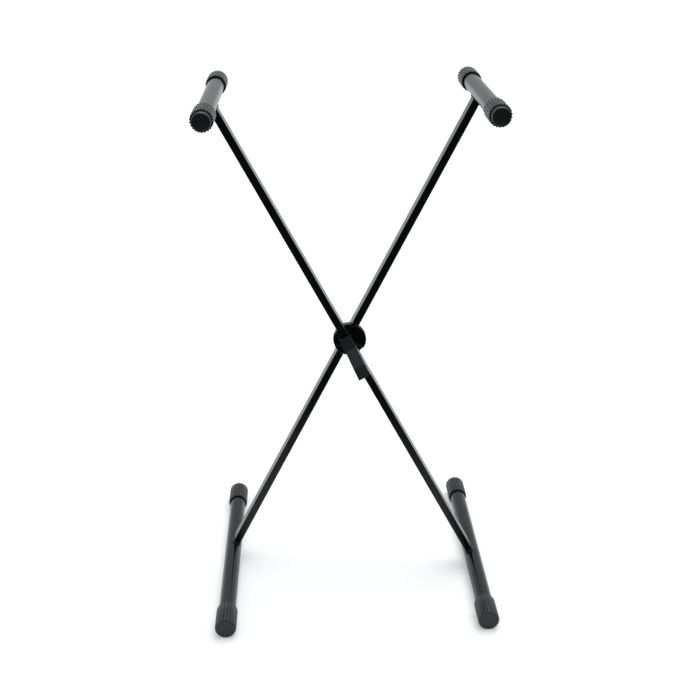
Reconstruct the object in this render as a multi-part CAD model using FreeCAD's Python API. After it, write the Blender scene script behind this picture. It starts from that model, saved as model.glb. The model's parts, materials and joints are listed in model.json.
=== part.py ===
"""Folding X-frame keyboard stand.

Two welded steel halves cross at a round clutch and pivot on one bolt. Each half is a flat
rectangular leg tube with a round foot tube across its lower end and a round arm tube across its
upper end. Ribbed rubber caps close the tubes. A trigger lever on the front leg draws a sprung
lock pin out of the index plate, and the frame then folds or spreads about the pivot bolt.

Frame: millimetres, +Z up, origin on the floor under the pivot. The legs swing in the XZ plane and
the tubes run along Y. The front of the stand, where the lever is, faces -Y.
Each half is modelled upright about the pivot, with its leg along Z, and is then leaned over.
"""
import FreeCAD
import Part
import math
import os

V = FreeCAD.Vector

# ---- driving dimensions ----
LEAN = 27.69                 # each leg's angle from the vertical as the stand is set up, degrees
LEG_BELOW = 466.0            # pivot to foot tube axis, along the leg
LEG_ABOVE = 460.0            # pivot to arm tube axis, along the leg
LEG_WIDTH = 12.7             # leg tube, across the front
LEG_DEPTH = 25.4             # leg tube, front to back
LEG_WALL = 1.5
LEG_CORNER = 1.2
LEG_BORE_CORNER = 0.5
LEG_GAP = 25.6               # between the two legs, front to back
TUBE_OD = 28.0               # foot and arm tubes
TUBE_WALL = 1.5
FOOT_SPAN = 473.0            # over the caps
ARM_SPAN = 388.0             # over the caps
WELD_SIZE = 2.2              # leg of the fillet weld round each leg end
WELD_GAP = 0.05              # root gap between a coped leg end and its tube

# ribbed caps
CAP_FIT = 0.1                # radial clearance on the tube
CAP_WALL = 2.0               # under the ribs
CAP_END = 3.5                # thickness of the closed end
CAP_RIBS = 22
RIB_DEPTH = 1.4
RIB_CREST_SHARE = 0.56       # part of the rib pitch that is crest
FOOT_CAP_SLEEVE = 52.0
ARM_CAP_SLEEVE = 55.0
NOSE_STEP = 3.3              # the smooth nose stands this far inside the ribs' crests
NOSE_LENGTH = 12.0
NOSE_WALL = 3.0
CAP_EDGE = 1.0               # chamfer at the closed end
FOOT_DIMPLE_RADIUS = 11.5    # shallow dish in a foot cap's face
FOOT_DIMPLE_DEPTH = 0.6

# clutch
PLATE_OD = 56.0
PLATE_THICK = 5.6
FRICTION_THICK = 0.7
FACE_GAP = 0.05              # running gap each side of the friction washer
HUB_OD = 21.0
PLATE_EDGE = 0.8             # chamfer on the plates' outer edges
RIM_WIDTH = 3.2              # raised rim on the plates' outer faces
RIM_RAISE = 1.2
NOTCH_COUNT = 3
NOTCH_WIDTH = 8.0
NOTCH_DEPTH = 4.0
NOTCH_START = 18.7           # first notch, degrees from the leg's lower end
GUSSET_COUNT = 3             # webs between a plate's hub and its rim
GUSSET_START = 32.3          # first web, degrees from the leg's lower end
GUSSET_RISE = 5.2            # height of a web at the hub, above the recess
GUSSET_AT_HUB = 2.2          # width of a web at the hub and at the rim
GUSSET_AT_RIM = 5.6
INDEX_COUNT = 5
INDEX_STEP = 18.0            # frame angle between two settings, degrees
INDEX_RADIUS = 18.0          # lock pin to pivot
FRICTION_OD = 26.0

# pivot
BOLT_DIAMETER = 8.0
BOLT_FIT = 0.1               # radial clearance in the bushes, plates and washers
BUSH_WALL = 0.8
HEX_FLATS = 13.0
HEAD_HEIGHT = 5.3
NUT_HEIGHT = 8.0
NUT_COLLAR = 1.6             # plain locking collar of the nut
WASHER_OD = 16.0
WASHER_THICK = 1.6
BOLT_PROUD = 2.0             # thread standing out of the nut
BOLT_EDGE = 0.8

# lock pin
PIN_FIT = 0.25
PIN_CLEAR = 0.3              # pin tip to index plate
PIN_TIP = 1.0                # chamfer on the pin's tip
PIN_HEAD = 8.4               # diameter of the pin's clevis head
COLLAR_FIT = 0.55            # collar to the inside of the leg
COLLAR_THICK = 1.5
SPRING_WIRE = 1.0
SPRING_FIT = 0.5             # pin to the inside of the coil
SPRING_TURNS = 5
SPRING_SIDES = 10            # straight lengths in one turn
LINK_DIAMETER = 3.0          # cross pin between lock pin and lever

# lever
LEVER_HINGE_UP = 12.0        # hinge pin above the pivot, along the leg
LEVER_HINGE_OUT = 4.0        # hinge pin in front of the leg's face
LEVER_TOP_WIDTH = 18.8
LEVER_TIP_WIDTH = 21.6
LEVER_WALL = 2.4
LEVER_TOP = 20.6             # along the leg from the pivot
LEVER_TIP = -47.4
BOSS_RADIUS = 2.2            # boss on the back of the lever, round the hinge pin
BOSS_WIDTH = 12.0
FLANGE_TOP = 7.2             # the lever's side flanges stop here, below the bracket's cheeks
HINGE_DIAMETER = 2.6
HINGE_FIT = 0.08             # radial clearance of the lever on its pin
HINGE_HEAD = 4.8
HINGE_HEAD_THICK = 1.1
LINK_OUT = 7.4               # cross pin in front of the hinge pin
SLOT_FIT = 0.2
SLOT_RUN = 1.9               # free travel of the cross pin in the lever's slots, each way
BRACKET_THICK = 1.2
BRACKET_TOP = 36.0
BRACKET_RIM = 2.2            # height of the cheeks above the lever
CHEEK_THICK = 1.6            # bracket's two cheeks, behind the lever's face
CHEEK_RADIUS = 2.6
MOVE_GAP = 0.35              # between pieces that move past each other

# ---- derived places ----
lean = math.radians(LEAN)
cap_radius = TUBE_OD / 2 + CAP_FIT + CAP_WALL + RIB_DEPTH
nose_radius = cap_radius - NOSE_STEP
foot_height = cap_radius
pivot_height = foot_height + LEG_BELOW * math.cos(lean)
foot_reach = LEG_BELOW * math.sin(lean)
arm_reach = LEG_ABOVE * math.sin(lean)
arm_height = pivot_height + LEG_ABOVE * math.cos(lean)
leg_offset = (LEG_DEPTH + LEG_GAP) / 2
front_face = -leg_offset - LEG_DEPTH / 2
inner_face = LEG_GAP / 2
plate_inner = FRICTION_THICK / 2 + FACE_GAP
plate_outer = plate_inner + PLATE_THICK
bush_od = BOLT_DIAMETER + 2 * (BOLT_FIT + BUSH_WALL)
leg_inside = LEG_WIDTH - 2 * LEG_WALL
spring_od = leg_inside - 2 * MOVE_GAP
pin_diameter = spring_od - 2 * (SPRING_WIRE + SPRING_FIT)
bracket_face = front_face - BRACKET_THICK
hinge_y = front_face - LEVER_HINGE_OUT
link_y = hinge_y - LINK_OUT

# the lever's face from its top to its tip: distance along Y, distance along the leg
LEVER_FACE = [(front_face - 6.8, LEVER_TOP), (front_face - 13.3, 0.5),
              (front_face - 27.8, -28.2), (front_face - 35.1, LEVER_TIP)]


# ---- helpers ----
def bar_y(radius, y_from, y_to, x=0.0, z=0.0):
    """Round bar along Y between two Y places."""
    return Part.makeCylinder(radius, y_to - y_from, V(x, y_from, z), V(0, 1, 0))


def bar_x(radius, half, y, z):
    """Round bar along X, as long on each side of the leg's centre plane."""
    return Part.makeCylinder(radius, 2 * half, V(-half, y, z), V(1, 0, 0))


def ring_y(outer, inner, y_from, y_to, x=0.0, z=0.0):
    """Round tube along Y, given its two radii."""
    return bar_y(outer, y_from, y_to, x, z).cut(bar_y(inner, y_from - 1, y_to + 1, x, z))


def block(x_from, x_to, y_from, y_to, z_from, z_to):
    return Part.makeBox(x_to - x_from, y_to - y_from, z_to - z_from, V(x_from, y_from, z_from))


def hex_y(flats, y_from, y_to):
    """Hexagonal prism along Y about the pivot."""
    radius = flats / math.sqrt(3)
    corners = [V(radius * math.sin(math.radians(60 * i)), y_from, radius * math.cos(math.radians(60 * i)))
               for i in range(7)]
    return Part.Face(Part.makePolygon(corners)).extrude(V(0, y_to - y_from, 0))


def edges_at_y(shape, y, radius=None):
    """Circular edges of a shape that lie in one Y plane, and have that radius if one is given."""
    found = []
    for edge in shape.Edges:
        box = edge.BoundBox
        round_edge = isinstance(edge.Curve, Part.Circle)
        if round_edge and abs(box.YMin - y) < 0.01 and abs(box.YMax - y) < 0.01:
            if radius is None or abs(edge.Curve.Radius - radius) < 0.01:
                found.append(edge)
    return found


def mirror_y(shape):
    return shape.mirror(V(0, 0, 0), V(0, 1, 0))


def lean_over(shape, side):
    """Puts an upright half in place. side is 1 for the rear half, -1 for the front half."""
    placed = shape.copy()
    placed.rotate(V(0, 0, 0), V(0, 1, 0), side * LEAN)
    placed.translate(V(0, 0, pivot_height))
    return placed


def leg_section(width, depth, corner, z_from, z_to):
    """Upright rectangular prism with rounded corners, centred on the Z axis."""
    prism = block(-width / 2, width / 2, -depth / 2, depth / 2, z_from, z_to)
    upright = [e for e in prism.Edges if e.BoundBox.ZLength > 1 and e.BoundBox.XLength < 0.01]
    return prism.makeFillet(corner, upright)


# ---- one half of the frame, upright about the pivot ----
def cross_tube(span, end_thickness, x, z):
    """Foot or arm tube along Y, stopping at the closed ends of its caps."""
    half = span / 2 - end_thickness
    return ring_y(TUBE_OD / 2, TUBE_OD / 2 - TUBE_WALL, -half, half, x, z)


def coped_leg(side):
    """Leg tube with its ends coped to the cross tubes, and holes for the pivot and the lock pin."""
    outer = leg_section(LEG_WIDTH, LEG_DEPTH, LEG_CORNER, -LEG_BELOW, LEG_ABOVE)
    bore = leg_section(leg_inside, LEG_DEPTH - 2 * LEG_WALL,
                       LEG_BORE_CORNER, -LEG_BELOW - 1, LEG_ABOVE + 1)
    leg = outer.cut(bore)
    leg.translate(V(0, side * leg_offset, 0))
    reach = LEG_DEPTH + leg_offset
    for height in (-LEG_BELOW, LEG_ABOVE):
        leg = leg.cut(bar_y(TUBE_OD / 2 + WELD_GAP, -reach, reach, 0, height))
    leg = leg.cut(bar_y(bush_od / 2 + WELD_GAP, -reach, reach))
    if side < 0:
        leg = leg.cut(bar_y(pin_diameter / 2 + PIN_FIT, -reach, 0, 0, -INDEX_RADIUS))
    return leg


def weld_bead(side, height):
    """Fillet bead round one coped leg end, tapering up the leg and lying on the cross tube."""
    up = 1 if height < 0 else -1
    run = TUBE_OD / 2 + 3 * WELD_SIZE
    start = height if up > 0 else height - run
    collar = leg_section(LEG_WIDTH + 2 * WELD_SIZE, LEG_DEPTH + 2 * WELD_SIZE,
                         LEG_CORNER + WELD_SIZE, start, start + run)
    collar.translate(V(0, side * leg_offset, 0))
    leg = leg_section(LEG_WIDTH, LEG_DEPTH, LEG_CORNER, start - 1, start + run + 1)
    leg.translate(V(0, side * leg_offset, 0))
    shell = bar_y(TUBE_OD / 2 + WELD_SIZE, -60, 60, 0, height)
    tube = bar_y(TUBE_OD / 2 + WELD_GAP, -61, 61, 0, height)
    return collar.common(shell).cut(tube).cut(leg)


# ---- ribbed caps, closed end towards -Y ----
def around(radius, angle, y):
    """Point at an angle round the Y axis, counted from straight down."""
    return V(radius * math.sin(angle), y, -radius * math.cos(angle))


def ribbed_prism(length, y_from):
    """Cap body: ribs with flat crests and vee grooves, the first crest facing down."""
    pitch = 2 * math.pi / CAP_RIBS
    half_crest = math.atan(math.tan(pitch / 2) * RIB_CREST_SHARE)
    corner = cap_radius / math.cos(half_crest)
    root = cap_radius - RIB_DEPTH
    points = []
    for i in range(CAP_RIBS):
        middle = i * pitch
        points.append(around(corner, middle - half_crest, y_from))
        points.append(around(corner, middle + half_crest, y_from))
        points.append(around(root, middle + pitch / 2, y_from))
    points.append(points[0])
    return Part.Face(Part.makePolygon(points)).extrude(V(0, length, 0))


def edge_taper(length, y_from):
    """Many-sided taper that chamfers the crests at the cap's closed end."""
    pitch = 2 * math.pi / CAP_RIBS

    def outline(apothem, y):
        radius = apothem / math.cos(pitch / 2)
        return Part.makePolygon([around(radius, (i + 0.5) * pitch, y) for i in range(CAP_RIBS + 1)])

    small = cap_radius - CAP_EDGE
    return Part.makeLoft([outline(small, y_from), outline(small + length, y_from + length)], True, True)


def foot_cap(span):
    """Cap with ribs up to its face, a chamfered edge and a shallow dish."""
    face = -span / 2
    cap = ribbed_prism(FOOT_CAP_SLEEVE, face)
    cap = cap.common(edge_taper(FOOT_CAP_SLEEVE, face))
    cap = cap.cut(bar_y(TUBE_OD / 2 + CAP_FIT, face + CAP_END, face + FOOT_CAP_SLEEVE + 1))
    return cap.cut(bar_y(FOOT_DIMPLE_RADIUS, face - 1, face + FOOT_DIMPLE_DEPTH))


def arm_cap(span):
    """Cap whose ribs stop short of a smooth hollow nose."""
    face = -span / 2
    shoulder = face + NOSE_LENGTH
    sleeve = ribbed_prism(ARM_CAP_SLEEVE, shoulder)
    nose = bar_y(nose_radius, face, shoulder + CAP_END)
    nose = nose.makeChamfer(CAP_EDGE, edges_at_y(nose, face))
    cap = sleeve.common(edge_taper(ARM_CAP_SLEEVE, shoulder)).fuse(nose)
    cap = cap.cut(bar_y(TUBE_OD / 2 + CAP_FIT, shoulder + CAP_END, shoulder + ARM_CAP_SLEEVE + 1))
    hollow = bar_y(nose_radius - NOSE_WALL, face + NOSE_WALL, shoulder + CAP_END + 1)
    return cap.cut(hollow).removeSplitter()


# ---- clutch ----
def gusset(angle):
    """Sloping web on a plate's outer face, from the hub down to the rim, wider at the rim."""
    near, far = HUB_OD / 2 - 1, PLATE_OD / 2 - RIM_WIDTH + 0.5
    floor = plate_outer - RIM_RAISE - 0.5
    profile = Part.makePolygon([V(0, floor, -near), V(0, floor, -far), V(0, plate_outer, -far),
                                V(0, floor + 0.5 + GUSSET_RISE, -near), V(0, floor, -near)])
    slab = Part.Face(profile).extrude(V(2 * GUSSET_AT_RIM, 0, 0))
    slab.translate(V(-GUSSET_AT_RIM, 0, 0))
    thin, thick = GUSSET_AT_HUB / 2, GUSSET_AT_RIM / 2
    plan = Part.makePolygon([V(-thin, 0, -near), V(thin, 0, -near), V(thick, 0, -far),
                             V(-thick, 0, -far), V(-thin, 0, -near)])
    web = slab.common(Part.Face(plan).extrude(V(0, inner_face, 0)))
    web.rotate(V(0, 0, 0), V(0, 1, 0), -angle)
    return web


def clutch_plate(side):
    """Disc and hub on one leg, with a raised rim and webs outside. side -1 is the front leg's."""
    recess = bar_y(PLATE_OD / 2 - RIM_WIDTH, plate_outer - RIM_RAISE, plate_outer + 1)
    disc = bar_y(PLATE_OD / 2, plate_inner, plate_outer)
    disc = disc.makeChamfer(PLATE_EDGE, edges_at_y(disc, plate_outer))
    webs = [gusset(GUSSET_START + i * 360.0 / GUSSET_COUNT) for i in range(GUSSET_COUNT)]
    hub = bar_y(HUB_OD / 2, plate_inner + 1, inner_face)
    plate = disc.cut(recess).fuse([hub, *webs]).removeSplitter()
    plate = plate.cut(bar_y(BOLT_DIAMETER / 2 + BOLT_FIT, 0, inner_face + 1))
    return plate if side > 0 else mirror_y(plate)


def front_plate():
    """The front plate has notches in its rim and the hole that guides the lock pin."""
    plate = clutch_plate(-1)
    for i in range(NOTCH_COUNT):
        angle = NOTCH_START + i * 360.0 / NOTCH_COUNT
        notch = block(-NOTCH_WIDTH / 2, NOTCH_WIDTH / 2, -plate_outer - 1, 0,
                      -PLATE_OD / 2 - 1, -PLATE_OD / 2 + NOTCH_DEPTH)
        notch.rotate(V(0, 0, 0), V(0, 1, 0), -angle)
        plate = plate.cut(notch)
    return plate.cut(bar_y(pin_diameter / 2 + PIN_FIT, -inner_face - 1, 0, 0, -INDEX_RADIUS))


def index_plate():
    """The rear plate has one hole for each height setting, seen from the upright front leg's pin."""
    plate = clutch_plate(1)
    for i in range(INDEX_COUNT):
        turn = -2 * LEAN + (i - INDEX_COUNT // 2) * INDEX_STEP
        hole = bar_y(pin_diameter / 2 + PIN_FIT, -1, plate_outer + 1, 0, -INDEX_RADIUS)
        hole.rotate(V(0, 0, 0), V(0, 1, 0), turn)
        plate = plate.cut(hole)
    return plate


def friction_washer():
    return ring_y(FRICTION_OD / 2, BOLT_DIAMETER / 2 + BOLT_FIT, -FRICTION_THICK / 2, FRICTION_THICK / 2)


# ---- pivot bolt and what is on it ----
def pivot_bush(side):
    """Thin bush that lines the bolt hole right through a leg."""
    far = leg_offset + LEG_DEPTH / 2
    bush = ring_y(bush_od / 2, BOLT_DIAMETER / 2 + BOLT_FIT, inner_face, far)
    return bush if side > 0 else mirror_y(bush)


rear_washer_face = leg_offset + LEG_DEPTH / 2 + FACE_GAP
nut_face = rear_washer_face + WASHER_THICK
nut_end = nut_face + NUT_HEIGHT


def pivot_bolt():
    head = hex_y(HEX_FLATS, front_face - HEAD_HEIGHT, front_face)
    dome = Part.makeCone(HEX_FLATS / 2 - 0.3, HEX_FLATS / 2 - 0.3 + 2 * HEAD_HEIGHT, HEAD_HEIGHT,
                         V(0, front_face - HEAD_HEIGHT, 0), V(0, 1, 0))
    shank = bar_y(BOLT_DIAMETER / 2, front_face - 1, nut_end + BOLT_PROUD)
    shank = shank.makeChamfer(BOLT_EDGE, edges_at_y(shank, nut_end + BOLT_PROUD))
    return head.common(dome).fuse(shank).removeSplitter()


def pivot_nut():
    """Locking nut: a hexagon with a round plain collar behind it."""
    body = hex_y(HEX_FLATS, nut_face, nut_end - NUT_COLLAR)
    collar = bar_y(HEX_FLATS / 2 - 0.8, nut_end - NUT_COLLAR - 0.5, nut_end)
    nut = body.fuse(collar).removeSplitter()
    return nut.cut(bar_y(BOLT_DIAMETER / 2 + 0.02, nut_face - 1, nut_end + 1))


def rear_washer():
    return ring_y(WASHER_OD / 2, BOLT_DIAMETER / 2 + BOLT_FIT, rear_washer_face, nut_face)


# ---- lever and lock pin, on the upright front leg ----
pin_tip_y = plate_inner - PIN_CLEAR
collar_front = -inner_face - LEG_WALL - 0.4 - COLLAR_THICK
wall_inside = front_face + LEG_WALL


def lock_pin():
    """Plunger with a clevis head in front, a spring collar inside the leg and a chamfered tip."""
    shaft = bar_y(pin_diameter / 2, link_y - 3.5, pin_tip_y, 0, -INDEX_RADIUS)
    shaft = shaft.makeChamfer(PIN_TIP, edges_at_y(shaft, pin_tip_y))
    head = bar_y(PIN_HEAD / 2, link_y - 3.5, link_y + 3.5, 0, -INDEX_RADIUS)
    collar = bar_y(leg_inside / 2 - COLLAR_FIT, collar_front, collar_front + COLLAR_THICK, 0, -INDEX_RADIUS)
    pin = shaft.fuse([head, collar]).removeSplitter()
    return pin.cut(bar_x(LINK_DIAMETER / 2 + WELD_GAP, PIN_HEAD, link_y, -INDEX_RADIUS))


def link_pin():
    """Cross pin through the lock pin's head, ending just inside the lever's sides."""
    half = lever_width_at(-INDEX_RADIUS) / 2 - MOVE_GAP
    return bar_x(LINK_DIAMETER / 2, half, link_y, -INDEX_RADIUS)


def lock_spring():
    """Coil between the leg's front wall and the pin's collar, drawn with short straight lengths."""
    first = wall_inside + 0.3 + SPRING_WIRE / 2
    last = collar_front - 0.3 - SPRING_WIRE / 2
    radius = (spring_od - SPRING_WIRE) / 2
    count = SPRING_TURNS * SPRING_SIDES
    points = []
    for i in range(count + 1):
        angle = 2 * math.pi * i / SPRING_SIDES
        points.append(V(radius * math.cos(angle), first + (last - first) * i / count,
                        radius * math.sin(angle) - INDEX_RADIUS))
    path = Part.makePolygon(points)
    along = points[1] - points[0]
    sideways = V(1, 0, 0).cross(along).normalize()
    upward = along.cross(sideways).normalize()
    section = []
    for i in range(7):
        angle = math.radians(60 * i)
        section.append(points[0] + (sideways * math.cos(angle) + upward * math.sin(angle)) * (SPRING_WIRE / 2))
    return path.makePipeShell([Part.makePolygon(section)], True, False, 1)


def lever_width_at(z):
    share = (LEVER_TOP - z) / (LEVER_TOP - LEVER_TIP)
    return LEVER_TOP_WIDTH + (LEVER_TIP_WIDTH - LEVER_TOP_WIDTH) * share


def lever_slab(shift, back):
    """Wide slab between the lever's face, moved back into the wall by a shift, and points behind it."""
    face = [V(0, y + 0.9 * shift, z - 0.4 * shift) for y, z in LEVER_FACE]
    outline = Part.makePolygon([*face, *back, face[0]])
    slab = Part.Face(outline).extrude(V(2 * LEVER_TIP_WIDTH, 0, 0))
    slab.translate(V(-LEVER_TIP_WIDTH, 0, 0))
    return slab


def lever_plan(inset, top_z, tip_z):
    """Tapering plan of the lever, wider at the tip, used to trim its sides."""
    top = lever_width_at(top_z) / 2 - inset
    tip = lever_width_at(tip_z) / 2 - inset
    corners = [V(-top, -95, top_z), V(top, -95, top_z), V(tip, -95, tip_z), V(-tip, -95, tip_z),
               V(-top, -95, top_z)]
    return Part.Face(Part.makePolygon(corners)).extrude(V(0, 70, 0))


def behind_face():
    """All the space behind the inner side of the lever's face."""
    deep = [V(0, LEVER_FACE[-1][0] + 40, LEVER_TIP - 30), V(0, 0, LEVER_TIP - 30), V(0, 0, LEVER_TOP + 30),
            V(0, LEVER_FACE[0][0], LEVER_TOP + 30)]
    return lever_slab(LEVER_WALL, deep)


def lever():
    """Trigger lever: a boss that turns on the hinge pin, and a bent channel below it."""
    tip_y = LEVER_FACE[-1][0]
    boss_back = hinge_y + BOSS_RADIUS
    boss_low = LEVER_HINGE_UP - BOSS_RADIUS
    back = [V(0, tip_y + 2.7, LEVER_TIP - 1.0), V(0, tip_y + 8.5, LEVER_TIP + 9.0),
            V(0, hinge_y - 6.4, LEVER_TIP + 20.0), V(0, hinge_y - 3.0, LEVER_TIP + 27.0),
            V(0, hinge_y - 3.0, boss_low - 1.4), V(0, boss_back, boss_low), V(0, boss_back, LEVER_HINGE_UP),
            V(0, hinge_y + BOSS_RADIUS / 3, LEVER_TOP)]
    body = lever_slab(0, back).common(lever_plan(0, LEVER_TOP + 1, LEVER_TIP - 2))
    behind = behind_face()
    body = body.cut(behind.common(lever_plan(LEVER_WALL, boss_low, LEVER_TIP + LEVER_WALL)))
    wide = 2 * LEVER_TIP_WIDTH
    for x_from, x_to in ((-wide, -BOSS_WIDTH / 2), (BOSS_WIDTH / 2, wide)):
        body = body.cut(behind.common(block(x_from, x_to, -95, 0, FLANGE_TOP, LEVER_TOP + 5)))
    body = body.cut(bar_x(HINGE_DIAMETER / 2 + HINGE_FIT, wide, hinge_y, LEVER_HINGE_UP))
    half_slot = LINK_DIAMETER / 2 + SLOT_FIT
    slot = block(-wide, wide, link_y - half_slot, link_y + half_slot,
                 -INDEX_RADIUS - half_slot - SLOT_RUN, -INDEX_RADIUS + half_slot + SLOT_RUN)
    return body.cut(slot)


cheek_inside = BOSS_WIDTH / 2 + MOVE_GAP


def lever_bracket():
    """Channel on the leg's face: a base plate, and a cheek each side of the boss for its pin."""
    low = LEVER_HINGE_UP - CHEEK_RADIUS - 0.4
    wide = cheek_inside + CHEEK_THICK
    rim = front_face - BRACKET_RIM
    plate = block(-wide, wide, bracket_face, front_face, low, BRACKET_TOP)
    profile = Part.makePolygon([V(0, front_face, low), V(0, hinge_y - 1.2, low),
                                V(0, hinge_y - CHEEK_RADIUS, low + 1.6),
                                V(0, hinge_y - CHEEK_RADIUS, LEVER_HINGE_UP + 0.6),
                                V(0, hinge_y - 0.7, LEVER_HINGE_UP + 4.0), V(0, rim, LEVER_TOP - 1.0),
                                V(0, rim, BRACKET_TOP), V(0, front_face, BRACKET_TOP), V(0, front_face, low)])
    cheeks = []
    for x in (-wide, cheek_inside):
        cheek = Part.Face(profile).extrude(V(CHEEK_THICK, 0, 0))
        cheek.translate(V(x, 0, 0))
        cheeks.append(cheek)
    bracket = plate.fuse(cheeks).removeSplitter()
    return bracket.cut(bar_x(HINGE_DIAMETER / 2 + WELD_GAP, 2 * wide, hinge_y, LEVER_HINGE_UP))


def hinge_pin():
    """Headed pin through the bracket's cheeks and the lever."""
    seat = cheek_inside + CHEEK_THICK
    pin = bar_x(HINGE_DIAMETER / 2, seat + HINGE_HEAD_THICK, hinge_y, LEVER_HINGE_UP)
    heads = []
    for x in (-seat - HINGE_HEAD_THICK, seat):
        heads.append(Part.makeCylinder(HINGE_HEAD / 2, HINGE_HEAD_THICK,
                                       V(x, hinge_y, LEVER_HINGE_UP), V(1, 0, 0)))
    return pin.fuse(heads).removeSplitter()


# ---- the whole stand ----
def place_caps(nodes, name, cap, x, z):
    """Front and back cap of one cross tube."""
    for end, shape in (("front", cap), ("back", mirror_y(cap))):
        placed = shape.copy()
        placed.translate(V(x, 0, z))
        nodes[f"{name}_cap_{end}"] = placed


def build():
    nodes = {}
    for half, side in (("rear", 1), ("front", -1)):
        nodes[f"{half}_leg_tube"] = lean_over(coped_leg(side), side)
        beads = [weld_bead(side, height) for height in (-LEG_BELOW, LEG_ABOVE)]
        nodes[f"{half}_weld_beads"] = lean_over(Part.makeCompound(beads), side)
        foot_x = -side * foot_reach
        arm_x = side * arm_reach
        nodes[f"{half}_foot_tube"] = cross_tube(FOOT_SPAN, CAP_END, foot_x, foot_height)
        nodes[f"{half}_arm_tube"] = cross_tube(ARM_SPAN, NOSE_LENGTH + CAP_END, arm_x, arm_height)
        place_caps(nodes, f"{half}_foot", foot_cap(FOOT_SPAN), foot_x, foot_height)
        place_caps(nodes, f"{half}_arm", arm_cap(ARM_SPAN), arm_x, arm_height)
        nodes[f"{half}_pivot_bush"] = lean_over(pivot_bush(side), side)
    rear_pieces = {"index_plate": index_plate(), "friction_washer": friction_washer(),
                   "pivot_bolt": pivot_bolt(), "pivot_washer": rear_washer(), "pivot_nut": pivot_nut()}
    front_pieces = {"front_clutch_plate": front_plate(), "lever_bracket": lever_bracket(),
                    "lever_hinge_pin": hinge_pin(), "release_lever": lever(), "lock_pin": lock_pin(),
                    "lock_pin_link": link_pin(), "lock_spring": lock_spring()}
    for name, shape in rear_pieces.items():
        nodes[name] = lean_over(shape, 1)
    for name, shape in front_pieces.items():
        nodes[name] = lean_over(shape, -1)
    return nodes


def write(nodes):
    os.makedirs("parts", exist_ok=True)
    for name, shape in nodes.items():
        shape.exportStep(f"parts/{name}.step")
        print(f"{name:22s} solids {len(shape.Solids)} valid {shape.isValid()} volume {shape.Volume:10.1f}")


write(build())
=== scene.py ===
"""Looks for the folding X-frame keyboard stand: camera, stage, light, materials and detailed pieces."""
import json
import math

import bpy
from mathutils import Matrix, Vector


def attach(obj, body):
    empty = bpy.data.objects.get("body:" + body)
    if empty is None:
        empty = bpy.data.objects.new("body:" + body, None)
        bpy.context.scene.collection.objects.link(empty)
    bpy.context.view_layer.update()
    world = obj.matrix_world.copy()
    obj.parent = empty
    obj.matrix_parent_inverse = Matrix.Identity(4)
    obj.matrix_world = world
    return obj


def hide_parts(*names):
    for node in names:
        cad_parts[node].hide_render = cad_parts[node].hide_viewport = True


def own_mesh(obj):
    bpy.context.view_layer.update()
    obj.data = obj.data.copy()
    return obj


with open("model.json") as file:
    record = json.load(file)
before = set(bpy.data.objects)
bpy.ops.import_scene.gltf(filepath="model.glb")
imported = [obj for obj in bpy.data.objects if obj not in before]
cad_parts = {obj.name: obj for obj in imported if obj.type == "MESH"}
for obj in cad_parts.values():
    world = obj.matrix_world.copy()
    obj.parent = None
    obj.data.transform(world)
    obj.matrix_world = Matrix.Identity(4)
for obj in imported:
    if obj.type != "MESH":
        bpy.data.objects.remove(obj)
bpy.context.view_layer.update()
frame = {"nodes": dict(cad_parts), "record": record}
MM = 0.001

# ---- sizes of the stand, in millimetres, as the CAD has them ----
LEAN = math.radians(27.69)
LEG_BELOW, LEG_ABOVE = 466.0, 460.0
LEG_WIDTH, LEG_DEPTH, LEG_WALL, LEG_CORNER = 12.7, 25.4, 1.5, 1.2
LEG_OFFSET = 25.5                      # from the middle of the stand to the middle of a leg
TUBE_R, CAP_R, NOSE_R = 14.0, 17.5, 14.2
FOOT_HALF, ARM_HALF = 236.5, 194.0     # half the spans over the caps
PIVOT_Z = CAP_R + LEG_BELOW * math.cos(LEAN)
FOOT_X, ARM_X = LEG_BELOW * math.sin(LEAN), LEG_ABOVE * math.sin(LEAN)
ARM_Z = PIVOT_Z + LEG_ABOVE * math.cos(LEAN)
HALVES = (("rear", 1), ("front", -1))  # each half's name and the way it leans


# ---- node helpers ----
def new_material(name):
    mat = bpy.data.materials.new(name)
    mat.use_nodes = True
    nodes = mat.node_tree.nodes
    nodes.clear()
    return mat, nodes, mat.node_tree.links


def noise(nodes, links, coords, scale, detail=2.0):
    node = nodes.new("ShaderNodeTexNoise")
    node.inputs["Scale"].default_value = scale
    node.inputs["Detail"].default_value = detail
    links.new(coords, node.inputs["Vector"])
    return node.outputs["Fac"]


def ranged(nodes, links, value, low, high, from_low=0.3, from_high=0.7):
    node = nodes.new("ShaderNodeMapRange")
    node.inputs["From Min"].default_value = from_low
    node.inputs["From Max"].default_value = from_high
    node.inputs["To Min"].default_value = low
    node.inputs["To Max"].default_value = high
    links.new(value, node.inputs["Value"])
    return node.outputs["Result"]


def mixed(nodes, links, kind, factor, first, second):
    """Blend by a factor, of kind RGBA or FLOAT. The first can be a value or another node's output."""
    node = nodes.new("ShaderNodeMix")
    node.data_type = kind
    links.new(factor, node.inputs["Factor"])
    if isinstance(first, bpy.types.NodeSocket):
        links.new(first, node.inputs["A"])
    else:
        node.inputs["A"].default_value = first
    node.inputs["B"].default_value = second
    return node.outputs["Result"]


def bump(nodes, links, height, strength, distance, after=None):
    node = nodes.new("ShaderNodeBump")
    node.inputs["Strength"].default_value = strength
    node.inputs["Distance"].default_value = distance
    links.new(height, node.inputs["Height"])
    if after is not None:
        links.new(after, node.inputs["Normal"])
    return node.outputs["Normal"]


# ---- materials ----
PATCH_SCALE, PATCH_DETAIL = 30.0, 4.0    # mottling of the colour
SMUDGE_SCALE, SMUDGE_DETAIL = 69.0, 3.0  # patches of more and less gloss
# mask of the caps' painted shade: their colour darkens with it towards each groove's valley
GROOVE_DEPTH = "groove_depth"            # the caps' attribute: 0 on a crest, 1 in a valley


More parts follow.
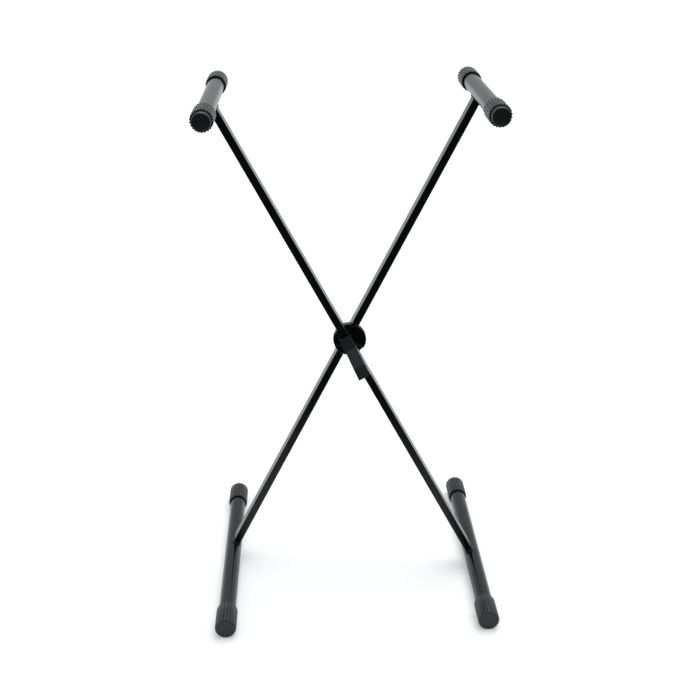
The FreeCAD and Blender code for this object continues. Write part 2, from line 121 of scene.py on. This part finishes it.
def surface(name, colours, roughness, grain, metallic=0.0, specular=0.5, painted_groove_shade=None):
    """Principled material: a mottled colour, a varied roughness, and a bump of one or two sizes.

    colours is the dark and the light end; roughness the low and high end; grain a list of
    (noise scale, strength, distance in metres) for the bumps, coarse first; the last argument is
    the colour of the painted shade low in a cap's grooves, reached where a groove is deepest.
    """
    mat, nodes, links = new_material(name)
    out = nodes.new("ShaderNodeOutputMaterial")
    shader = nodes.new("ShaderNodeBsdfPrincipled")
    shader.inputs["Metallic"].default_value = metallic
    shader.inputs["Specular IOR Level"].default_value = specular
    links.new(shader.outputs["BSDF"], out.inputs["Surface"])
    coords = nodes.new("ShaderNodeTexCoord").outputs["Object"]
    patches = noise(nodes, links, coords, PATCH_SCALE, PATCH_DETAIL)
    dark, light = colours
    colour = mixed(nodes, links, "RGBA", patches, (*dark, 1.0), (*light, 1.0))
    # painted shade in the grooves: the colour darkens towards the shade colour as the groove deepens
    if painted_groove_shade:
        depth = nodes.new("ShaderNodeAttribute")
        depth.attribute_name = GROOVE_DEPTH
        colour = mixed(nodes, links, "RGBA", depth.outputs["Fac"], colour, (*painted_groove_shade, 1.0))
    links.new(colour, shader.inputs["Base Color"])
    smudges = noise(nodes, links, coords, SMUDGE_SCALE, SMUDGE_DETAIL)
    links.new(ranged(nodes, links, smudges, *roughness), shader.inputs["Roughness"])
    normal = None
    for scale, strength, distance in grain:
        normal = bump(nodes, links, noise(nodes, links, coords, scale), strength, distance, normal)
    links.new(normal, shader.inputs["Normal"])
    return mat


PAINT = surface(
    "gloss_powder_paint", ((0.0026, 0.0026, 0.0028), (0.0042, 0.0042, 0.0045)), (0.15, 0.22),
    [(420.0, 0.10, 0.00025), (1500.0, 0.05, 0.0001)])
# the rubber's near-black last colour is painted shade in the valleys of the cap grooves
RUBBER = surface(
    "ribbed_cap_rubber", ((0.0115, 0.0120, 0.0127), (0.0165, 0.0172, 0.0180)), (0.28, 0.38),
    [(700.0, 0.12, 0.0003), (3200.0, 0.25, 0.0001)], specular=0.8, painted_groove_shade=(0.002, 0.002, 0.002))
PLASTIC = surface(
    "moulded_lever_plastic", ((0.0095, 0.0098, 0.0104), (0.0130, 0.0134, 0.0140)), (0.25, 0.33),
    [(900.0, 0.10, 0.0002), (4200.0, 0.22, 0.00008)], specular=0.7)
BLACKENED = surface(
    "blackened_steel", ((0.045, 0.045, 0.047), (0.075, 0.075, 0.077)), (0.30, 0.42),
    [(600.0, 0.08, 0.0002)], metallic=1.0)
WIRE = surface(
    "spring_wire", ((0.30, 0.30, 0.31), (0.42, 0.42, 0.43)), (0.22, 0.34),
    [(900.0, 0.06, 0.0001)], metallic=1.0)
NYLON = surface(
    "natural_nylon", ((0.50, 0.49, 0.45), (0.58, 0.57, 0.53)), (0.45, 0.60),
    [(1200.0, 0.12, 0.0001)])
SLOT_MATERIAL = {"black_paint": PAINT, "cap_rubber": RUBBER, "lever_plastic": PLASTIC,
                 "blackened_steel": BLACKENED, "spring_steel": WIRE, "friction_plastic": NYLON}


# ---- mesh helpers ----
SHARP_ANGLE, BEAD_SHARP_ANGLE = 42, 80  # degrees; a sharper edge isn't shaded smooth


def mesh_piece(name, vertices, faces, body, material, sharp_angle=SHARP_ANGLE):
    mesh = bpy.data.meshes.new(name)
    mesh.from_pydata(vertices, [], faces)
    mesh.validate()
    mesh.materials.append(material)
    mesh.shade_smooth()
    mesh.set_sharp_from_angle(angle=math.radians(sharp_angle))
    piece = bpy.data.objects.new(name, mesh)
    bpy.context.scene.collection.objects.link(piece)
    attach(piece, body)
    return piece


def swept_rings(rings):
    """Points and faces of a closed skin over rings of points; the first and last ring are one point."""
    vertices, faces, starts = [], [], []
    for ring in rings:
        starts.append((len(vertices), len(ring)))
        vertices.extend(ring)
    for (a, na), (b, nb) in zip(starts, starts[1:]):
        count = max(na, nb)
        for i in range(count):
            j = (i + 1) % count
            if na == 1:
                faces.append((a, b + j, b + i))
            elif nb == 1:
                faces.append((a + i, a + j, b))
            else:
                faces.append((a + i, a + j, b + j, b + i))
    return vertices, faces


def lean_over(vertices, side):
    """Moves points of an upright half, measured from the pivot, to where that half leans; in metres."""
    turn = Matrix.Rotation(side * LEAN, 3, "Y")
    return [(turn @ v + Vector((0, 0, PIVOT_Z))) * MM for v in vertices]


# ---- ribbed caps ----
RIBS = 22
RIB_DEPTH = 1.9        # deeper than the CAD's, to give the photograph's outline
BORE_R = 14.04         # closer on the tube than the CAD's
STEPS_PER_RIB = 12
GROOVE_SHARE = 0.68    # of a rib's pitch


def groove_shape(step):
    """How deep the groove is at one step of a rib's pitch, from 0 on the crest to 1 in the valley."""
    away = abs(step / STEPS_PER_RIB - 0.5) / (GROOVE_SHARE / 2)
    return 0.0 if away >= 1 else 1.0 - away ** 2


def groove_depths(groove):
    """Depth of each point of one ring below its crest, as a share of a full groove."""
    steps = range(RIBS * STEPS_PER_RIB)
    return [groove / RIB_DEPTH * groove_shape(i % STEPS_PER_RIB) for i in steps]


def cap_ring(y, radius, groove):
    """One ring of a cap: y from the closed face, crest radius, depth of the grooves there."""
    ring = []
    for i in range(RIBS * STEPS_PER_RIB):
        angle = 2 * math.pi * i / (RIBS * STEPS_PER_RIB)
        r = radius - groove * groove_shape(i % STEPS_PER_RIB)
        ring.append((r * math.sin(angle), y, -r * math.cos(angle)))
    return ring


def open_end(length, closed_end):
    """Rows of a cap's profile from its last ribs, over the lip and down the bore to the closed end."""
    return [(length - 0.7, CAP_R, RIB_DEPTH), (length - 0.2, 17.38, 1.3), (length, 17.1, 1.1),
            (length, 14.5, 0), (length - 0.3, 14.12, 0), (length - 1.0, BORE_R, 0), (closed_end, BORE_R, 0)]


# Each row is y from the closed face, crest radius and groove depth, as cap_ring takes them.
FOOT_CAP = [
    (0.55, 11.0, 0), (0.45, 11.35, 0), (0.12, 11.8, 0), (0.0, 12.2, 0), (0.0, 15.45, 0),
    (0.15, 15.85, 0.1), (0.35, 16.15, 0.35), (0.5, 16.6, 0.75), (0.65, 17.1, 1.15), (0.95, 17.4, 1.35),
    (1.4, CAP_R, RIB_DEPTH), (26.0, CAP_R, RIB_DEPTH), *open_end(52.0, 3.6)]
ARM_CAP = [
    (0.35, 10.6, 0), (0.3, 10.9, 0), (0.05, 11.2, 0), (0.0, 11.5, 0), (0.0, 12.9, 0), (0.12, 13.3, 0),
    (0.5, 13.75, 0), (1.1, 14.08, 0), (1.9, NOSE_R, 0), (11.5, NOSE_R, 0), (11.85, 14.3, 0),
    (12.0, 14.6, 0), (12.0, 16.0, 0), (12.0, 17.1, 1.05), (12.15, 17.38, 1.28), (12.6, CAP_R, RIB_DEPTH),
    (40.0, CAP_R, RIB_DEPTH), *open_end(67.0, 15.6)]


def cap(node, body, profile, reach, x, z, front):
    """Cap with rounded grooves in place of a CAD cap, closed end outwards."""
    first, last = (0.0, profile[0][0], 0.0), (0.0, profile[-1][0], 0.0)
    vertices, faces = swept_rings([[first], *(cap_ring(*row) for row in profile), [last]])
    side = 1 if front else -1
    placed = [((x + vx) * MM, side * (vy - reach) * MM, (z + vz) * MM) for vx, vy, vz in vertices]
    if not front:
        faces = [f[::-1] for f in faces]
    piece = mesh_piece(node + "_moulded", placed, faces, body, RUBBER)
    # how deep each point lies in its groove, the mask for the painted shade there
    depths = piece.data.attributes.new(GROOVE_DEPTH, "FLOAT", "POINT")
    depths.data.foreach_set("value", [0.0] + [g for row in profile for g in groove_depths(row[2])] + [0.0])
    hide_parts(node)


for half_name, side in HALVES:
    for end in ("front", "back"):
        for tube, profile, reach, x, z in (("foot", FOOT_CAP, FOOT_HALF, -side * FOOT_X, CAP_R),
                                           ("arm", ARM_CAP, ARM_HALF, side * ARM_X, ARM_Z)):
            cap(f"{half_name}_{tube}_cap_{end}", half_name + "_frame", profile, reach, x, z, end == "front")


# ---- rippled weld beads ----
BEAD_R = 1.55
BEAD_OUT = BEAD_R * 0.25    # how far a bead's middle stands off the leg and off the round tube
BEAD_STEP = 0.42
BEAD_SIDES = 10
CORNER_STEPS = 8
RIPPLE_PITCH, RIPPLE = 2.1, 0.16           # RIPPLE is a share of the bead's radius
UNEVENNESS = ((0.05, 1.7), (0.04, 4.3))    # share of the radius, radians in one ripple's length


def leg_outline(offset):
    """Points round the leg's section, offset outwards and about BEAD_STEP apart on the flats."""
    half_w, half_d, corner = LEG_WIDTH / 2 - LEG_CORNER, LEG_DEPTH / 2 - LEG_CORNER, LEG_CORNER + offset
    centres = [(half_w, half_d, 0), (-half_w, half_d, 90), (-half_w, -half_d, 180), (half_w, -half_d, 270)]
    points = []
    for index, (cx, cy, start) in enumerate(centres):
        for k in range(CORNER_STEPS + 1):
            angle = math.radians(start + 90 * k / CORNER_STEPS)
            points.append(Vector((cx + corner * math.cos(angle), cy + corner * math.sin(angle))))
        nx, ny, next_start = centres[(index + 1) % 4]
        begin = points[-1]
        angle = math.radians(next_start)
        end = Vector((nx + corner * math.cos(angle), ny + corner * math.sin(angle)))
        steps = max(2, int((end - begin).length / BEAD_STEP))
        points.extend(begin.lerp(end, k / steps) for k in range(1, steps))
    return points


def weld_bead(side, height):
    """Bead round one coped leg end, on the upright half: a tube with ripples, closed on itself."""
    away = 1 if height < 0 else -1
    path = []
    for flat in leg_outline(BEAD_OUT):
        rise = math.sqrt((TUBE_R + BEAD_OUT) ** 2 - flat.x ** 2)
        path.append(Vector((flat.x, flat.y + side * LEG_OFFSET, height + away * rise)))
    vertices, travelled = [], 0.0
    for i, here in enumerate(path):
        before, after = path[i - 1], path[(i + 1) % len(path)]
        travelled += (here - before).length
        along = (after - before).normalized()
        across = along.cross(Vector((0, 0, 1))).normalized()
        upward = across.cross(along)
        phase = travelled / RIPPLE_PITCH
        swell = 1.0 + RIPPLE * abs(math.sin(math.pi * phase))
        swell += sum(share * math.sin(rate * phase) for share, rate in UNEVENNESS)
        for k in range(BEAD_SIDES):
            angle = 2 * math.pi * k / BEAD_SIDES
            vertices.append(here + (across * math.cos(angle) + upward * math.sin(angle)) * BEAD_R * swell)
    faces = []
    for i in range(len(path)):
        j = (i + 1) % len(path)
        for k in range(BEAD_SIDES):
            m = (k + 1) % BEAD_SIDES
            faces.append((i * BEAD_SIDES + k, j * BEAD_SIDES + k, j * BEAD_SIDES + m, i * BEAD_SIDES + m))
    return vertices, faces


for half_name, side in HALVES:
    vertices, faces = [], []
    for height in (-LEG_BELOW, LEG_ABOVE):
        some, some_faces = weld_bead(side, height)
        faces.extend(tuple(i + len(vertices) for i in face) for face in some_faces)
        vertices.extend(some)
    bead = mesh_piece(half_name + "_weld_ripples", lean_over(vertices, side), faces, half_name + "_frame",
                      PAINT, BEAD_SHARP_ANGLE)
    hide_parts(half_name + "_weld_beads")


# ---- coil of the lock pin's spring, inside the front leg, on the upright half ----
PIN_DROP, PIN_TRAVEL = 18.0, 5.7        # pin's axis below the pivot; its slide
COIL_FRONT, COIL_BACK = -35.9, -17.04   # y of the wire's middle at each end
COIL_R, COIL_TURNS, COIL_STEPS = 3.97, 5, 28
WIRE_R, WIRE_SIDES = 0.5, 10


def coil():
    """Round-wire coil, wound about the lock pin's axis, with a flat end at each side."""
    count = COIL_TURNS * COIL_STEPS
    rise = (COIL_BACK - COIL_FRONT) / count
    angles = [2 * math.pi * k / WIRE_SIDES for k in range(WIRE_SIDES)]
    centres, rings = [], []
    for i in range(count + 1):
        turn = 2 * math.pi * i / COIL_STEPS
        outward = Vector((math.cos(turn), 0.0, math.sin(turn)))
        along = Vector((-COIL_R * math.sin(turn), rise * COIL_STEPS / (2 * math.pi), COIL_R * math.cos(turn)))
        across = along.normalized().cross(outward)
        centre = outward * COIL_R + Vector((0.0, COIL_FRONT + rise * i, -PIN_DROP))
        centres.append(centre)
        rings.append([centre + (outward * math.cos(a) + across * math.sin(a)) * WIRE_R for a in angles])
    return swept_rings([centres[:1], *rings, centres[-1:]])


vertices, faces = coil()
spring = mesh_piece("lock_spring_coil", lean_over(vertices, -1), faces, "front_frame", WIRE)
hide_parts("lock_spring")
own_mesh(spring)


# ---- CAD nodes that stay: material, softened edges ----
KEPT_AS_CUT = {"rear_leg_tube", "front_leg_tube", "friction_washer"}
EDGE = {"release_lever": 1.0, "lever_bracket": 0.35, "pivot_bolt": 0.25, "pivot_nut": 0.25,
        "front_clutch_plate": 0.6, "index_plate": 0.6}
USUAL_EDGE = 0.3
EDGE_STEPS = 3
ROUNDED_ANGLE = 38    # degrees; a gentler edge isn't rounded
SAME_POINT = 1e-6     # metres
slot_of = {s["node"]: s["material_slot"] for s in frame["record"]["subparts"]}


def smoothing(name, limit):
    """Node group that shades a mesh smooth, but keeps each edge sharper than limit degrees."""
    group = bpy.data.node_groups.new(name, "GeometryNodeTree")
    group.interface.new_socket("Geometry", in_out="INPUT", socket_type="NodeSocketGeometry")
    group.interface.new_socket("Geometry", in_out="OUTPUT", socket_type="NodeSocketGeometry")
    nodes, links = group.nodes, group.links
    faces = nodes.new("GeometryNodeSetShadeSmooth")
    edges = nodes.new("GeometryNodeSetShadeSmooth")
    edges.domain = "EDGE"
    gentle = nodes.new("FunctionNodeCompare")
    gentle.operation = "LESS_THAN"
    gentle.inputs["B"].default_value = math.radians(limit)
    links.new(nodes.new("GeometryNodeInputMeshEdgeAngle").outputs["Unsigned Angle"], gentle.inputs["A"])
    links.new(gentle.outputs["Result"], edges.inputs["Shade Smooth"])
    links.new(nodes.new("NodeGroupInput").outputs["Geometry"], faces.inputs["Geometry"])
    links.new(faces.outputs["Geometry"], edges.inputs["Geometry"])
    links.new(edges.outputs["Geometry"], nodes.new("NodeGroupOutput").inputs["Geometry"])
    return group


LEVER_SMOOTHING = smoothing("lever_smoothing", 5)
USUAL_SMOOTHING = smoothing("usual_smoothing", 32)


def round_edges(name, node):
    """Merges a node's split corners and rounds its edges a little, with the flats left flat."""
    if "custom_normal" in node.data.attributes:
        node.data.attributes.remove(node.data.attributes["custom_normal"])
    merge = node.modifiers.new("merge", "WELD")
    merge.merge_threshold = SAME_POINT
    shading = node.modifiers.new("shading", "NODES")
    shading.node_group = LEVER_SMOOTHING if name == "release_lever" else USUAL_SMOOTHING
    rounding = node.modifiers.new("rounding", "BEVEL")
    rounding.width = EDGE.get(name, USUAL_EDGE) * MM
    rounding.segments = EDGE_STEPS
    rounding.limit_method = "ANGLE"
    rounding.angle_limit = math.radians(ROUNDED_ANGLE)
    rounding.use_clamp_overlap = True
    rounding.harden_normals = True


for node_name, node_object in frame["nodes"].items():
    node_object.data.materials.clear()
    node_object.data.materials.append(SLOT_MATERIAL[slot_of[node_name]])
    if node_name not in KEPT_AS_CUT:
        round_edges(node_name, node_object)


# ---- stage ----
FLOOR_REACH = 60.0
FLOOR_DARK, FLOOR_PALE = 0.05, 0.80    # tone of the floor in front of the stand and behind it
FLOOR_FADE = (-0.66, -0.10)            # y, in metres, where the floor starts and ends turning pale
FLOOR_SEEN, FLOOR_LIFT = 0.80, 0.28    # what the camera sees: an even tone and some added light
STUDIO_WAY = (0.0, 0.75, 0.9)          # towards the bright side of the studio
STUDIO_DARK, STUDIO_BRIGHT = 0.06, 0.58
STUDIO_FADE = (-0.52, -0.10)           # how far that way a ray goes where it starts and ends turning bright
STUDIO_TINT, WHITE = (0.955, 1.0, 1.03, 1.0), (1.0, 1.0, 1.0, 1.0)
SUN_PLACE, SUN_ENERGY, SUN_SPREAD = (0.6, 0.9, 3.0), 1.7, 50.0


def floor_material():
    """Pale floor. The camera sees it even and a little lighter; reflections see it turn dark in front."""
    mat, nodes, links = new_material("pale_floor")
    out = nodes.new("ShaderNodeOutputMaterial")
    diffuse = nodes.new("ShaderNodeBsdfDiffuse")
    split = nodes.new("ShaderNodeSeparateXYZ")
    links.new(nodes.new("ShaderNodeTexCoord").outputs["Object"], split.inputs["Vector"])
    tone = ranged(nodes, links, split.outputs["Y"], FLOOR_DARK, FLOOR_PALE, *FLOOR_FADE)
    from_camera = nodes.new("ShaderNodeLightPath").outputs["Is Camera Ray"]
    seen = mixed(nodes, links, "FLOAT", from_camera, tone, FLOOR_SEEN)
    links.new(seen, diffuse.inputs["Color"])
    glow = nodes.new("ShaderNodeEmission")
    lift = nodes.new("ShaderNodeMath")
    lift.operation = "MULTIPLY"
    links.new(from_camera, lift.inputs[0])
    lift.inputs[1].default_value = FLOOR_LIFT
    links.new(lift.outputs["Value"], glow.inputs["Strength"])
    both = nodes.new("ShaderNodeAddShader")
    links.new(diffuse.outputs["BSDF"], both.inputs[0])
    links.new(glow.outputs["Emission"], both.inputs[1])
    links.new(both.outputs["Shader"], out.inputs["Surface"])
    return mat


def add_floor():
    corners = [(-FLOOR_REACH, -FLOOR_REACH, 0), (FLOOR_REACH, -FLOOR_REACH, 0),
               (FLOOR_REACH, FLOOR_REACH, 0), (-FLOOR_REACH, FLOOR_REACH, 0)]
    mesh = bpy.data.meshes.new("floor")
    mesh.from_pydata(corners, [], [(0, 1, 2, 3)])
    mesh.materials.append(floor_material())
    floor = bpy.data.objects.new("floor", mesh)
    bpy.context.scene.collection.objects.link(floor)


def add_world():
    """White to the camera. To everything else it is bright above and behind and dim low in front."""
    world = bpy.data.worlds.new("studio")
    bpy.context.scene.world = world
    world.use_nodes = True
    nodes, links = world.node_tree.nodes, world.node_tree.links
    nodes.clear()
    out = nodes.new("ShaderNodeOutputWorld")
    back = nodes.new("ShaderNodeBackground")
    facing = nodes.new("ShaderNodeVectorMath")
    facing.operation = "DOT_PRODUCT"
    links.new(nodes.new("ShaderNodeTexCoord").outputs["Generated"], facing.inputs[0])
    facing.inputs[1].default_value = STUDIO_WAY
    level = ranged(nodes, links, facing.outputs["Value"], STUDIO_DARK, STUDIO_BRIGHT, *STUDIO_FADE)
    from_camera = nodes.new("ShaderNodeLightPath").outputs["Is Camera Ray"]
    links.new(mixed(nodes, links, "FLOAT", from_camera, level, 1.0), back.inputs["Strength"])
    links.new(mixed(nodes, links, "RGBA", from_camera, STUDIO_TINT, WHITE), back.inputs["Color"])
    links.new(back.outputs["Background"], out.inputs["Surface"])


def add_sun():
    """Soft sun that shines from its place towards the origin."""
    light = bpy.data.lights.new("overhead", "SUN")
    light.energy = SUN_ENERGY
    light.angle = math.radians(SUN_SPREAD)
    lamp = bpy.data.objects.new("overhead", light)
    lamp.location = SUN_PLACE
    lamp.rotation_euler = (-Vector(SUN_PLACE)).to_track_quat("-Z", "Y").to_euler()
    bpy.context.scene.collection.objects.link(lamp)


# ---- the photograph's camera, found from the legs, feet and arms ----
CAMERA_PLACE = (-0.0644, -1.8671, 1.1552)
PITCH, YAW, ROLL = math.radians(21.77), math.radians(1.99), math.radians(-0.62)
LENS, SENSOR_WIDTH = 60.71, 36.0    # millimetres
CLIP_END = 200.0


def add_camera():
    forward = Vector((math.sin(YAW) * math.cos(PITCH), math.cos(YAW) * math.cos(PITCH), -math.sin(PITCH)))
    level = Vector((math.cos(YAW), -math.sin(YAW), 0.0))
    right = level * math.cos(ROLL) + level.cross(forward) * math.sin(ROLL)
    above = right.cross(forward)
    data = bpy.data.cameras.new("camera")
    data.lens = LENS
    data.sensor_width = SENSOR_WIDTH
    data.clip_end = CLIP_END
    camera = bpy.data.objects.new("camera", data)
    basis = Matrix((right, above, -forward)).transposed().to_4x4()
    camera.matrix_world = Matrix.Translation(CAMERA_PLACE) @ basis
    bpy.context.scene.collection.objects.link(camera)
    bpy.context.scene.camera = camera


add_floor()
add_world()
add_sun()
add_camera()
bpy.context.scene.view_settings.view_transform = "Standard"
